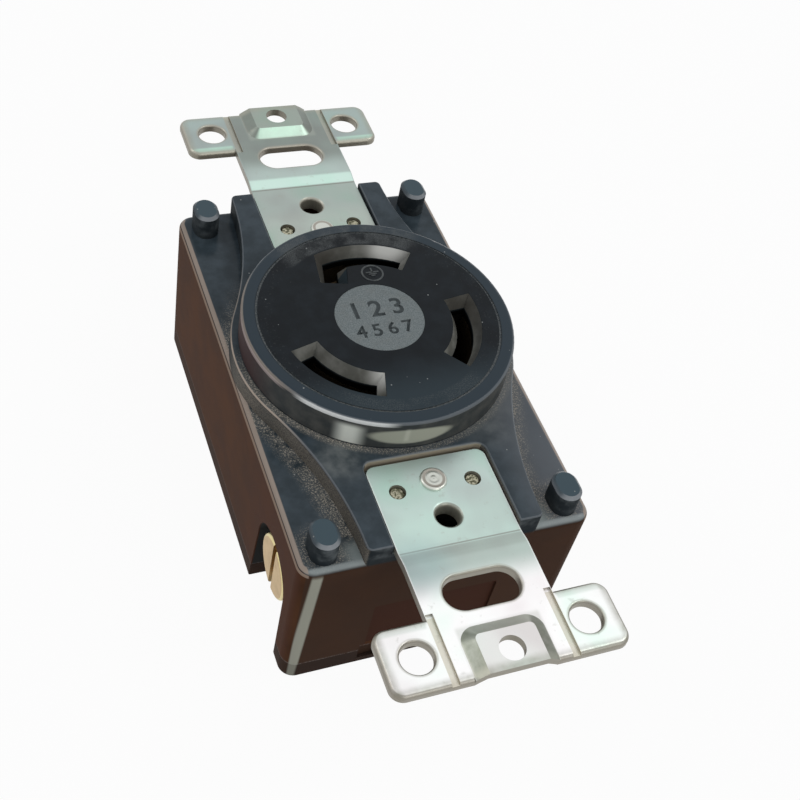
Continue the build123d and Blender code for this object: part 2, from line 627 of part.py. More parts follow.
# Contact base: moulded block that fills the housing and holds every contact in its pocket
with BuildPart() as contact_base:
    with BuildSketch(Plane.XY.offset(cover_thickness)):
        RectangleRounded(
            body_width - 2 * (wall + fit_clearance), body_length - 2 * (wall + fit_clearance), body_corner
        )
    extrude(amount=ceiling - cover_thickness)
    with BuildSketch(Plane.XY.offset(ceiling)):
        Circle(drum_radius - fit_clearance)
    extrude(amount=drum_ceiling - ceiling)
    # Pockets under the slots, long enough for the blades to turn and lock. Each is open to the
    # rear and runs on into a channel for the tail, so the contact drops in from behind.
    pocket_half = leaf_gap_mouth + leaf_thickness + pocket_clearance
    channel_start = leaf_radius * abs(sin(radians(tail_angle))) - pocket_clearance
    channel_end = terminal_y + tail_half_length + pocket_clearance
    channel_middle = (channel_start + channel_end) / 2
    channel_reach = half_width - tail_inner_x + 2 * pocket_clearance
    for name, start, sweep, side, end in contacts:
        pocket_start = start + contact_turn - twist_angle - pocket_turn
        pocket_sweep = sweep - 2 * contact_turn + twist_angle + 2 * pocket_turn
        with BuildSketch(Plane.XY.offset(cover_thickness)):
            with BuildLine():
                near = CenterArc((0, 0), leaf_radius - pocket_half, pocket_start, pocket_sweep)
                far = CenterArc((0, 0), leaf_radius + pocket_half, pocket_start, pocket_sweep)
                Line(near @ 0, far @ 0)
                Line(near @ 1, far @ 1)
            make_face()
        extrude(amount=drum_ceiling - cover_thickness, mode=Mode.SUBTRACT)
        with BuildSketch(Plane.XY.offset(cover_thickness)):
            with Locations((side * (tail_inner_x + tail_outer_x) / 2, end * channel_middle)):
                Rectangle(tail_outer_x - tail_inner_x + 2 * pocket_clearance, channel_end - channel_start)
            with Locations((side * (tail_inner_x + half_width) / 2, end * terminal_y)):
                Rectangle(channel_reach, 2 * (tail_half_length + pocket_clearance))
        extrude(amount=tail_top - cover_thickness, mode=Mode.SUBTRACT)
    for cut in well_cuts:
        add(cut, mode=Mode.SUBTRACT)
    # Room for the hooked end of the ground blade
    with BuildSketch(Plane.XY.offset(hook_pocket_floor)):
        add(slot_throats[2])
        add(slot_throats[2].rotate(Axis.Z, -twist_angle))
    extrude(amount=drum_ceiling - hook_pocket_floor, mode=Mode.SUBTRACT)
    # Holes for the assembly screws, rivet tails, cover plate screws and terminal screw tips
    with BuildSketch(Plane.XY.offset(cover_thickness)):
        with Locations([(x * screw_x, y * screw_y) for x, y in screw_places]):
            Circle(screw_radius + screw_hole_clearance)
    extrude(amount=ceiling - cover_thickness, mode=Mode.SUBTRACT)
    with BuildSketch(Plane.XY.offset(ceiling - link_thickness - rivet_tail_height - pocket_clearance)):
        with Locations([(0, -rivet_y), (0, rivet_y)]):
            Circle(rivet_tail_radius + pocket_clearance)
    extrude(amount=drum_ceiling, mode=Mode.SUBTRACT)
    with BuildSketch(Plane.XY.offset(plate_screw_floor)):
        with Locations([(0, -plate_hole_y), (0, plate_hole_y)]):
            Circle(plate_collar_radius)
    extrude(amount=drum_ceiling, mode=Mode.SUBTRACT)
    for kind, place, side, end in terminals:
        outward = Plane(origin=(0, end * terminal_y, terminal_height), x_dir=(0, 1, 0), z_dir=(side, 0, 0))
        with BuildSketch(outward.offset(plate_inner_x - terminal_tip_reach - pocket_clearance)):
            Circle(terminal_shank_radius + pocket_clearance)
        extrude(amount=terminal_tip_reach + pocket_clearance, mode=Mode.SUBTRACT)
    # Channel for the ground link
    with BuildSketch(Plane.XY.offset(ceiling - link_thickness - fit_clearance)):
        with Locations(((tail_inner_x + link_leg_width) / 2, rivet_y)):
            Rectangle(
                tail_inner_x + link_leg_width + 2 * pocket_clearance, 2 * (link_half_width + pocket_clearance)
            )
        with Locations((0, rivet_y)):
            Circle(link_half_width + pocket_clearance)
    extrude(amount=drum_ceiling, mode=Mode.SUBTRACT)
    with BuildSketch(Plane.XY.offset(tail_top)):
        with Locations((link_leg_x, link_leg_y)):
            Rectangle(link_leg_width + 2 * pocket_clearance, link_thickness + 2 * pocket_clearance)
    extrude(amount=ceiling - tail_top, mode=Mode.SUBTRACT)
    with BuildSketch(Plane.XY.offset(tail_top)):
        with Locations((link_leg_x, link_leg_y + link_foot / 2)):
            Rectangle(
                link_leg_width + 2 * pocket_clearance, link_thickness + link_foot + 2 * pocket_clearance
            )
    extrude(amount=link_thickness + pocket_clearance, mode=Mode.SUBTRACT)
contact_base.part.label = "contact_base"
export_step(contact_base.part, "parts/contact_base.step")
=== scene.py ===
import math

import bmesh
import bpy
from mathutils import Matrix, Vector


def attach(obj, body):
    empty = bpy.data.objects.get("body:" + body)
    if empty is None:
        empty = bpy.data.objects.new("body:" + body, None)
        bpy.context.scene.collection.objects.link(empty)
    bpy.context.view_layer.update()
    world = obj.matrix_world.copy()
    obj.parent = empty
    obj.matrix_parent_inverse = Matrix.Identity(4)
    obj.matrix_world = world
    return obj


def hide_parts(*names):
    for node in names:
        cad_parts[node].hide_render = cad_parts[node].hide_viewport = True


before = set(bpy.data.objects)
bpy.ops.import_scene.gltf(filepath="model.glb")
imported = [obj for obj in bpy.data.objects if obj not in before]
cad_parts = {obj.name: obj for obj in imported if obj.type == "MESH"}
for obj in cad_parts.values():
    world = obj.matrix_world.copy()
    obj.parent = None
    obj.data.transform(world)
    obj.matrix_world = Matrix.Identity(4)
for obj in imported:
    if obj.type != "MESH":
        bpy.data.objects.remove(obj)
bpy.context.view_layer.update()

# The camera looks down on the face from the near left, a little rolled. Its place is in the part's
# own millimetres, and the field of view is the photograph's.
mm = 0.001
camera_place = Vector((-58.062, -109.223, 156.772)) * mm
camera_right = Vector((0.92845, -0.33187, 0.16687))
camera_up = Vector((0.15181, 0.74899, 0.64496))
camera_back = camera_right.cross(camera_up)
focal_pixels = 1250.564
frame_pixels = 800

camera_data = bpy.data.cameras.new("camera")
camera_data.sensor_width = 36
camera_data.lens = focal_pixels / frame_pixels * camera_data.sensor_width
camera_data.clip_start = 0.01
camera_data.clip_end = 20
camera = bpy.data.objects.new("camera", camera_data)
turn = Matrix((camera_right, camera_up, camera_back)).transposed().to_4x4()
camera.matrix_world = Matrix.Translation(camera_place) @ turn
bpy.context.collection.objects.link(camera)
bpy.context.scene.camera = camera
bpy.context.scene.view_settings.view_transform = "Standard"

# The stage: a plain pale floor under the part, a white world, and soft lamps. To the camera and in
# reflections both are white, and the floor keeps a part of the shadow. The lamps stand high to the
# right, low in front and high to the left.
floor_size = 4.0
floor_shadow = 0.05
floor_drop = 0.05
sky_tint = (0.93, 0.96, 1.0)
sky_strength = 0.5
lamps = [
    ("key_lamp", (0.75, -0.25, 0.95), 0.35, 1.9, (1.0, 0.98, 0.95)),
    ("near_lamp", (0.2, -1.0, 0.5), 0.5, 1.6, (1.0, 0.97, 0.93)),
    ("left_lamp", (-0.8, 0.5, 0.9), 0.4, 1.9, (1.0, 0.95, 0.92)),
]
lamp_target = Vector((0, 0, 0.02))


class Link:
    """An output of a node. Sums, products and powers of links add Math nodes."""

    def __init__(self, owner, socket):
        self.owner = owner
        self.socket = socket

    def math(self, operation, first, second=0.0):
        return self.owner.node("ShaderNodeMath", {"operation": operation}, {0: first, 1: second})

    def __add__(self, other):
        return self.math("ADD", self, other)

    def __radd__(self, other):
        return self.math("ADD", other, self)

    def __sub__(self, other):
        return self.math("SUBTRACT", self, other)

    def __rsub__(self, other):
        return self.math("SUBTRACT", other, self)

    def __mul__(self, other):
        return self.math("MULTIPLY", self, other)

    def __rmul__(self, other):
        return self.math("MULTIPLY", other, self)

    def __truediv__(self, other):
        return self.math("DIVIDE", self, other)

    def __rtruediv__(self, other):
        return self.math("DIVIDE", other, self)

    def __pow__(self, power):
        return self.math("POWER", self, power)

    def __rpow__(self, base):
        return self.math("POWER", base, self)

    def __neg__(self):
        return self.math("MULTIPLY", self, -1.0)

    def __abs__(self):
        return self.math("ABSOLUTE", self)

    def rise(self, low, high):
        """Goes smoothly from 0 at low to 1 at high, or the other way where low is the larger."""
        ends = {"From Min": low, "From Max": high, "To Min": 0.0, "To Max": 1.0}
        if low > high:
            ends = {"From Min": high, "From Max": low, "To Min": 1.0, "To Max": 0.0}
        return self.owner.node(
            "ShaderNodeMapRange", {"interpolation_type": "SMOOTHSTEP"}, {"Value": self, **ends}
        )

    def band(self, low, high, soft):
        """1 between low and high, falling to 0 over this softness outside them."""
        return self.rise(low - soft, low) * self.rise(high + soft, high)


class Nodes:
    """The node tree of a material or of the world."""

    def __init__(self, tree):
        self.tree = tree
        tree.nodes.clear()

    def node(self, kind, settings=None, inputs=None, out=0):
        """Adds any node: its settings first, then the values or links of its sockets."""
        new = self.tree.nodes.new(kind)
        for name, value in (settings or {}).items():
            setattr(new, name, value)
        for name, value in (inputs or {}).items():
            if isinstance(name, int):
                socket = new.inputs[name]
            else:
                socket = next(s for s in new.inputs if s.enabled and name in (s.name, s.identifier))
            if isinstance(value, Link):
                self.tree.links.new(value.socket, socket)
            else:
                socket.default_value = value
        shown = [s for s in new.outputs if s.enabled]
        if isinstance(out, str):
            shown = [s for s in shown if s.name == out]
            out = 0
        return Link(self, shown[out]) if shown else None

    def parts(self, vector):
        """The X, Y and Z of a vector, as three links."""
        return [self.node("ShaderNodeSeparateXYZ", {}, {0: vector}, out=axis) for axis in "XYZ"]

    def plain_rays(self):
        """1 for the rays that see the stage plain: the camera's, mirrored ones and ones let through."""
        seen = self.node("ShaderNodeLightPath", out="Is Camera Ray")
        mirrored = self.node("ShaderNodeLightPath", out="Is Glossy Ray")
        through = self.node("ShaderNodeLightPath", out="Is Transmission Ray")
        return seen + mirrored + through


class Finish(Nodes):
    """One procedural material, in millimetres of the part's own frame."""

    def __init__(self, name):
        self.material = bpy.data.materials.new(name)
        self.material.use_nodes = True
        super().__init__(self.material.node_tree)
        spot = self.node("ShaderNodeTexCoord", out="Object")
        self.place = self.node(
            "ShaderNodeVectorMath", {"operation": "SCALE"}, {"Vector": spot, "Scale": 1 / mm}
        )
        self.x, self.y, self.z = self.parts(self.place)
        self.normal = self.node("ShaderNodeNewGeometry", out="Normal")
        self.right, self.back, self.up = self.parts(self.normal)

    def radius(self, middle_y=0.0):
        """Distance from an axis that stands on the middle line, on both sides of the face alike."""
        along = abs(self.y) - middle_y if middle_y else self.y
        return (self.x * self.x + along * along) ** 0.5

    def bearing(self):
        """Angle round the face in degrees, from +X at 0 and from -180 to 180."""
        return self.y.math("ARCTAN2", self.y, self.x) * (180 / math.pi)

    def near(self, x, y, z, size):
        """1 at this place, falling softly to 0 at this distance from it."""
        away = self.node(
            "ShaderNodeVectorMath", {"operation": "DISTANCE"}, {0: self.place, 1: (x, y, z)}, out="Value"
        )
        return away.rise(size, size * 0.2)

    def noise(self, size, detail=3.0, stretch=(1, 1, 1)):
        """Noise from 0 to 1 whose lumps are about this many millimetres."""
        place = self.place
        if stretch != (1, 1, 1):
            place = self.node(
                "ShaderNodeVectorMath", {"operation": "DIVIDE"}, {0: place, 1: Vector(stretch)}
            )
        inputs = {"Vector": place, "Scale": 1 / size, "Detail": detail, "Roughness": 0.55}
        return self.node("ShaderNodeTexNoise", {}, inputs)

    def mix(self, factor, first, second, blend="MIX"):
        """Colour between two colours, each given as a link or as three linear numbers."""
        colours = [c if isinstance(c, Link) else (*c, 1.0) for c in (first, second)]
        return self.node(
            "ShaderNodeMix",
            {"data_type": "RGBA", "blend_type": blend, "clamp_factor": True},
            {"Factor_Float": factor, "A_Color": colours[0], "B_Color": colours[1]},
        )

    def paint(self, colour, layers):
        """Lays tints over a colour one after the other, each where its mask is 1."""
        for mask, tint in layers:
            colour = self.mix(mask, colour, tint)
        return colour

    def bump(self, height, depth):
        """Normal of a surface with this relief, its depth in millimetres."""
        return self.node("ShaderNodeBump", {}, {"Height": height, "Distance": depth * mm})

    def surface(self, **values):
        """The material's shader. Underscores in the names stand for spaces."""
        inputs = {name.replace("_", " "): value for name, value in values.items()}
        return self.node("ShaderNodeBsdfPrincipled", {}, inputs)

    def close(self, shader):
        self.node("ShaderNodeOutputMaterial", {}, {"Surface": shader})
        return self.material


floor_mesh = bpy.data.meshes.new("floor")
shape = bmesh.new()
bmesh.ops.create_grid(shape, x_segments=1, y_segments=1, size=floor_size / 2)
shape.to_mesh(floor_mesh)
shape.free()
floor = bpy.data.objects.new("floor", floor_mesh)
floor.location.z = -floor_drop * mm
bpy.context.collection.objects.link(floor)

paper = Finish("floor_paper")
white = paper.node("ShaderNodeEmission", {}, {"Color": (1, 1, 1, 1), "Strength": 1.0})
matt = paper.node("ShaderNodeBsdfDiffuse", {}, {"Color": (0.8, 0.8, 0.8, 1)})
plain = paper.plain_rays() * (1 - floor_shadow)
shader = paper.node("ShaderNodeMixShader", {}, {0: plain, 1: matt, 2: white})
floor_mesh.materials.append(paper.close(shader))

world = bpy.data.worlds.new("studio")
bpy.context.scene.world = world
world.use_nodes = True
sky = Nodes(world.node_tree)
light = sky.node("ShaderNodeBackground", {}, {"Color": (*sky_tint, 1), "Strength": sky_strength})
white = sky.node("ShaderNodeBackground", {}, {"Color": (1, 1, 1, 1)})
shader = sky.node("ShaderNodeMixShader", {}, {0: sky.plain_rays(), 1: light, 2: white})
sky.node("ShaderNodeOutputWorld", {}, {"Surface": shader})

for name, place, size, power, tint in lamps:
    lamp_data = bpy.data.lights.new(name, "AREA")
    lamp_data.shape = "SQUARE"
    lamp_data.size = size
    lamp_data.energy = power
    lamp_data.color = tint
    lamp = bpy.data.objects.new(name, lamp_data)
    aim = lamp_target - Vector(place)
    lamp.matrix_world = Matrix.Translation(place) @ aim.to_track_quat("-Z", "Y").to_matrix().to_4x4()
    bpy.context.collection.objects.link(lamp)

# Front housing: one black thermoset moulding, held to the cover by the four long screws. It is glossy
# on top where the mould was polished, and bare brown on the walls. Dust lies in its corners. The rims,
# the near corner, the edges and the drum carry painted highlights and reflections, the left wall is
# painted lighter, and the near end, the wells and the slots' throats carry painted shade.
face_level = 34.25
platform_level = 29.15
wall_top = 25.0
face_radius = 19.25
strip_half_width = 12.2
strip_flare = 0.0094
half_length = 33.5
post_place = (16.9, 30.1, 27.0)
ring_inner = 15.2
ring_outer = 17.2
ring_line_radius = 17.15
throat_level = 32.4
funnel_inner = 10.2
funnel_outer = 14.8
panel_half_width = 9.0
panel_top = 14.65
seam_level = 3.6
corner_lean = 0.045
film_places = [((-11.5, -19.0), 5.0, 1.0), ((10.5, -16.5), 7.0, 0.6), ((15.5, -9.5), 6.0, 0.6)]
shine_places = [((-1.6, -9.9, 33.5), 4.2, 1.0), ((5.9, 13.6, 33.6), 4.2, 1.0)]
shade_places = [((-5.5, 12.0, 33.5), 7.5, 1.0), ((13.5, 1.5, 33.5), 9.0, 0.8)]

bare_browns = [(0.062, 0.026, 0.013), (0.090, 0.038, 0.018)]
lit_left_brown = (0.080, 0.032, 0.020)
shaded_end_brown = (0.052, 0.030, 0.021)
panel_red = (0.055, 0.020, 0.013)
well_shade_black = (0.030, 0.032, 0.031)
seam_grey = (0.17, 0.15, 0.14)
slates = [(0.036, 0.050, 0.060), (0.060, 0.080, 0.096)]
right_slate = (0.155, 0.170, 0.188)
post_slate = (0.064, 0.098, 0.118)
face_blacks = [(0.005, 0.008, 0.011), (0.010, 0.015, 0.020)]
near_face_reflection = (0.034, 0.052, 0.064)
face_rim = (0.034, 0.050, 0.064)
side_blacks = [(0.020, 0.026, 0.030), (0.045, 0.052, 0.055)]
dust_beige = (0.46, 0.42, 0.35)
wall_beige = (0.26, 0.23, 0.19)
recess_beige = (0.42, 0.36, 0.27)
film_grey = (0.28, 0.29, 0.27)
end_film_grey = (0.31, 0.355, 0.35)
fleck_grey = (0.45, 0.47, 0.46)
drum_greys = [(0.050, 0.055, 0.056), (0.095, 0.095, 0.088)]
drum_left = (0.060, 0.040, 0.040)
funnel_greys = [(0.13, 0.13, 0.115), (0.22, 0.22, 0.20)]


def dress(name, material):
    """Gives a CAD node this material."""
    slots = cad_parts[name].data.materials
    slots.clear()
    slots.append(material)


def patches(finish, places):
    """Sum of soft patches, each at its place, with its size and its strength."""
    total = 0.0
    for place, size, strength in places:
        total = finish.near(*place, size) * strength + total
    return total


housing = Finish("housing_moulding")
lumps = housing.noise(6.0)
cloud = housing.noise(2.5)
grain = housing.noise(0.28, detail=2)
fine = housing.noise(0.16, detail=1)
radius = housing.radius()
bearing = housing.bearing()
across = abs(housing.x)
along = abs(housing.y)
facing = -housing.back

# Where each surface of the moulding is
top_side = housing.up.rise(0.35, 0.85)
upper = housing.z.rise(wall_top + 0.2, wall_top + 0.9)
on_face = housing.z.rise(face_level - 0.25, face_level - 0.1) * radius.rise(face_radius, face_radius - 0.2)
drum_wall = radius.band(face_radius - 0.3, face_radius + 0.2, 0.1)
drum_wall = drum_wall * housing.z.rise(platform_level + 0.1, platform_level + 0.3)
on_platform = housing.z.band(platform_level - 0.4, platform_level + 0.1, 0.1)
on_land = housing.z.rise(platform_level - 0.6, platform_level - 1.0) * top_side
end_wall = housing.y.rise(-half_length + 0.6, -half_length + 0.4)
strip_foot = strip_half_width + (half_length - along) ** 2 * strip_flare
off_strip = across - strip_foot
inside = across.rise(20.4, 20.2) * housing.z.rise(wall_top, wall_top - 0.5) * along.rise(31.2, 30.9)
panel = end_wall * across.rise(panel_half_width + 0.1, panel_half_width - 0.1)
panel = panel * housing.z.rise(panel_top + 0.15, panel_top - 0.15)
funnel = housing.z.band(throat_level + 0.1, face_level - 0.1, 0.05)
funnel = funnel * radius.band(funnel_inner, funnel_outer, 0.1)
throat = housing.z.rise(throat_level + 0.05, throat_level - 0.4) * radius.rise(18.0, 17.5)

# The face: blackest of all, paler near the camera as a painted reflection and paler at its rim, with a little
# dust in its ring
ring = radius.band(ring_inner, ring_outer, 0.3)
near_ring = ring * bearing.band(-122, -58, 8) * fine.rise(0.45, 0.65) * cloud.rise(0.35, 0.6)
far_ring = radius.band(15.0, 18.4, 0.5) * bearing.band(60, 122, 10) * cloud.rise(0.3, 0.6)
face = housing.mix(cloud.rise(0.35, 0.8), *face_blacks)
face = housing.paint(face, [
    (housing.y.rise(-7.0, -15.0) * 0.8, near_face_reflection),
    (radius.rise(17.2, 17.5), face_rim),
    (near_ring * 0.25, (0.16, 0.17, 0.165)),
    (far_ring * (0.2 + fine.rise(0.4, 0.6) * 0.4), (0.13, 0.14, 0.14)),
    (radius.band(ring_inner, ring_outer, 0.5) * grain.rise(0.6, 0.7) * 0.2, (0.10, 0.11, 0.11)),
])

# Dust: along the foot of the strips' sides, round the near posts and by the drum
beside = off_strip.rise(3.4, 0.2) * on_land
posts = housing.near(-post_place[0], -post_place[1], post_place[2], 5.0)
posts = posts + housing.near(post_place[0], -post_place[1], post_place[2], 5.0)
beside = beside * housing.y.rise(20.0, 0.0) + posts * on_land * 0.8
by_drum = radius.band(19.2, 19.7, 0.9) * on_platform * housing.y.rise(4.0, -6.0)
speckle = fine.rise(0.48, 0.60) * grain.rise(0.42, 0.56)
dust = beside * cloud.rise(0.3, 0.5) * (0.16 + speckle * 1.3)
dust = dust + by_drum * (0.12 + speckle * 0.5) * (1 + housing.x.rise(-3.0, -12.0) * 0.9)

# The polished tops, with painted highlights on the posts' bevels that face the camera and along the near rim
end_film = on_land * housing.y.rise(-28.8, -31.0) * off_strip.rise(3.2, 0.4)
film = on_platform * patches(housing, [((*spot, platform_level), size, s) for spot, size, s in film_places])
flecks = housing.node(
    "ShaderNodeTexVoronoi", {"feature": "F1"}, {"Vector": housing.place, "Scale": 0.45}, out="Distance"
)
bevel = housing.up.band(0.3, 0.9, 0.1) * housing.z.band(29.4, 30.1, 0.1) * radius.rise(25, 26)
near_rim = housing.y.rise(-32.3, -32.8) * housing.up.band(0.25, 0.97, 0.1) * housing.z.band(25.0, 26.1, 0.1)
tops = housing.mix(cloud.rise(0.3, 0.75), *slates)
tops = housing.paint(tops, [
    (housing.x.rise(8.0, 16.0) * housing.y.rise(8.0, -6.0) * 0.75, right_slate),
    (housing.z.rise(29.6, 29.9), post_slate),
    (on_face, face),
    (dust, dust_beige),
    (end_film * (0.7 + cloud * 0.6), end_film_grey),
    (film * cloud.rise(0.2, 0.8) * 0.5, film_grey),
    (flecks.rise(0.06, 0.03) * 0.7, fleck_grey),
    (bevel * (0.12 + facing.rise(0.2, 0.6) * 0.8), (0.34, 0.36, 0.38)),
    (near_rim * 0.8, (0.36, 0.40, 0.40)),
])

# The sides of the platform, the recesses and the posts, then the bare walls below them
wall_dust = off_strip.rise(0.8, 0.1) * facing.rise(0.9, 0.6)
wall_dust = wall_dust * housing.y.rise(5.0, -3.0) * housing.z.rise(platform_level, 28.6)
recess_end = housing.y.band(-20.6, -20.0, 0.1) * across.rise(8.8, 8.4)
post_side = radius.rise(26, 27) * housing.z.rise(26.3, 27.5)
side = housing.mix(cloud.rise(0.3, 0.8), *side_blacks)
side = housing.paint(side, [
    (wall_dust * (0.25 + fine.rise(0.35, 0.65) * 0.5), wall_beige),
    (recess_end * 0.8, recess_beige),
    # Painted highlight on the posts' sides that face the camera
    (post_side * facing.rise(0.2, 0.9) * cloud.rise(0.4, 0.7) * 0.5, (0.16, 0.18, 0.19)),
])
walls = housing.mix(lumps.rise(0.3, 0.7), *bare_browns)
walls = housing.paint(walls, [
    # Painted light and shade: the left wall is painted lighter and the near end wall darker
    (housing.x.rise(-20.0, -20.4) * housing.y.rise(-5.0, -25.0) * 0.6, lit_left_brown),
    (end_wall * 0.75, shaded_end_brown),
    # Painted shade: the inside of the housing is painted near black
    (inside, well_shade_black),
    (panel * 0.7, panel_red),
    (housing.z.rise(seam_level + 0.15, seam_level - 0.15) * fine.rise(0.35, 0.6) * 0.6, seam_grey),
    (upper, side),
])

# Painted highlights and reflections: the long rims, the near corner, the edges and the front of the drum
rim = across.rise(19.3, 19.5) * housing.z.rise(24.6, 25.2) * housing.z.rise(27.5, 26.5)
corner = end_wall * (housing.x - housing.z * corner_lean).band(-19.95, -18.9, 0.35)
corner = corner * housing.z.rise(25.6, 24.6)
wing_glint = 0.5 + housing.x.rise(-14.0, -18.0) * housing.y.rise(8.0, 2.0) * 0.5
edge_glint = housing.up.band(0.35, 0.80, 0.15) * (
    on_platform * wing_glint + housing.z.rise(33.3, 33.6) * drum_wall * 0.5
)
edge_tint = housing.mix(housing.x.rise(-14.0, -18.0), (0.22, 0.24, 0.26), (0.48, 0.40, 0.33))
left_side = bearing.rise(-148, -156) + bearing.rise(160, 175)
reflected_oval = (((bearing + 95) / 19) ** 2 + ((housing.z - 31.5) / 1.55) ** 2).rise(1.05, 0.55)
drum = housing.mix(cloud.rise(0.3, 0.8), *drum_greys)
drum = housing.mix(abs(bearing).rise(150, 175), drum, drum_left)

# The slots' funnels: painted grey as a painted reflection, with painted highlights where they face the light
# and painted shade where they are in the shade, darkest on the near slots' outer walls
near_outer_shade = radius.rise(13.6, 14.4) * housing.y.rise(0.0, -5.0)
funnels = housing.mix(cloud.rise(0.35, 0.7), *funnel_greys)
funnels = housing.paint(funnels, [
    (patches(housing, shine_places) * 0.9, (0.80, 0.80, 0.76)),
    (patches(housing, shade_places) * 0.85, (0.050, 0.045, 0.038)),
    (near_outer_shade * 0.6, (0.03, 0.03, 0.03)),
])

ring_line = radius.band(ring_line_radius - 0.17, ring_line_radius + 0.17, 0.03)
ring_line = ring_line * housing.z.band(face_level - 0.3, face_level - 0.08, 0.02)
colour = housing.paint(walls, [
    (top_side, tops),
    (drum_wall * (1 - top_side), drum),
    # Painted highlights on the long rims
    (rim * housing.up.band(0.10, 0.42, 0.06) * 0.85, (0.36, 0.27, 0.21)),
    (rim * housing.up.band(0.62, 0.93, 0.05) * 0.85, (0.42, 0.34, 0.28)),
    # Painted reflection band down the near left corner
    (corner * 0.9, (0.42, 0.42, 0.35)),
    (edge_glint, edge_tint),
    # Painted reflection of the strap plate on the drum's front
    (drum_wall * reflected_oval * 0.85, (0.46, 0.46, 0.38)),
    # Painted highlights on the drum: down its near left front, along its left top rim, a thin streak on its
    # front, and along its near left top rim
    (drum_wall * housing.z.band(29.6, 32.2, 1.2) * bearing.band(-121, -119, 7.0) * 0.9, (0.86, 0.88, 0.80)),
    (drum_wall * housing.z.band(33.5, 33.9, 0.12) * left_side * 0.6, (0.50, 0.42, 0.40)),
    (drum_wall * housing.z.band(31.0, 32.5, 0.8) * bearing.band(-97.2, -96.8, 1.5) * 0.5, (0.60, 0.60, 0.52)),
    (drum_wall * housing.z.band(33.55, 34.0, 0.12) * bearing.band(-138, -108, 9), (0.75, 0.76, 0.75)),
    (funnel, funnels),
    (ring_line * (0.35 + grain.rise(0.4, 0.6) * 0.5), (0.20, 0.21, 0.21)),
    # Painted shade: the slots' throats are made black
    (throat, (0.002, 0.002, 0.002)),
])
relief = housing.bump(housing.noise(1.2, detail=2), 0.010)
bare = housing.surface(
    Base_Color=colour, Roughness=0.5 + lumps * 0.1, Specular_IOR_Level=0.015, Normal=relief
)
polished = housing.surface(
    Base_Color=colour, Roughness=0.14 + lumps * 0.10 + dust * 0.4, Specular_IOR_Level=0.13, Normal=relief
)
shader = housing.node("ShaderNodeMixShader", {}, {0: top_side, 1: bare, 2: polished})
dress("front_housing", housing.close(shader))

# Rear cover: a plate of the same thermoset, a little duller, that closes the back of the housing. The
# four long screws hold it from behind. Its near end is painted darker as painted shade, and its near
# left corner carries a painted reflection band like the housing's.
cover_browns = [(0.045, 0.026, 0.018), (0.062, 0.034, 0.023)]
cover = Finish("cover_moulding")
lumps = cover.noise(7.0)
cover_end = cover.y.rise(-half_length + 0.6, -half_length + 0.4)
corner = cover_end * (cover.x - cover.z * corner_lean).band(-20.1, -19.0, 0.4)
colour = cover.mix(lumps.rise(0.3, 0.7), *cover_browns)
# Painted shade on the near end, and a painted reflection band on the near left corner
colour = cover.paint(colour, [(cover_end * 0.7, (0.032, 0.021, 0.017)), (corner * 0.7, (0.36, 0.36, 0.30))])
relief = cover.bump(cover.noise(0.8), 0.01)
shader = cover.surface(
    Base_Color=colour, Roughness=0.5 + lumps * 0.1, Specular_IOR_Level=0.015, Normal=relief
)
dress("rear_cover", cover.close(shader))

# Contact base: a dull moulded block that fills the housing and holds the contacts. It is seen only
# through the slots and the wells, in deep shade.
base_blacks = [(0.006, 0.006, 0.006), (0.012, 0.010, 0.009)]
base = Finish("base_moulding")
lumps = base.noise(3.0)
shader = base.surface(
    Base_Color=base.mix(lumps, *base_blacks), Roughness=0.6 + lumps * 0.15, Specular_IOR_Level=0.1
)
dress("contact_base", base.close(shader))

# Rating disc: a thin grey insert with a grained face, pressed into the middle of the housing. Plain
# counting numbers are stamped into it in two rows, each cut out of the disc with a closed solid of
# its own shape.
disc_radius = 6.4
disc_top = face_level - 0.06
disc_thickness = 0.8
disc_edge = 0.06
figure_depth = 0.35
figure_weight = 0.025
figure_rows = [("123", 0.15, 3.1, 3.1), ("4567", -3.45, 2.3, 2.3)]
disc_greys = [(0.12, 0.148, 0.154), (0.245, 0.272, 0.275)]


def new_piece(name, shape, material):
    """An object of this bmesh, at the origin."""
    mesh = bpy.data.meshes.new(name)
    shape.to_mesh(mesh)
    shape.free()
    mesh.materials.append(material)
    piece = bpy.data.objects.new(name, mesh)
    bpy.context.collection.objects.link(piece)
    return piece


def turned(profile, steps=128):
    """Closed solid turned about the Z axis from this (radius, level) profile in millimetres."""
    shape = bmesh.new()
    points = [shape.verts.new((r * mm, 0, z * mm)) for r, z in profile]
    edges = [shape.edges.new(pair) for pair in zip(points, points[1:])]
    around = {"cent": (0, 0, 0), "axis": (0, 0, 1), "angle": 2 * math.pi}
    bmesh.ops.spin(shape, geom=points + edges, steps=steps, use_merge=True, **around)
    bmesh.ops.remove_doubles(shape, verts=shape.verts, dist=1e-7)
    bmesh.ops.recalc_face_normals(shape, faces=shape.faces)
    return shape


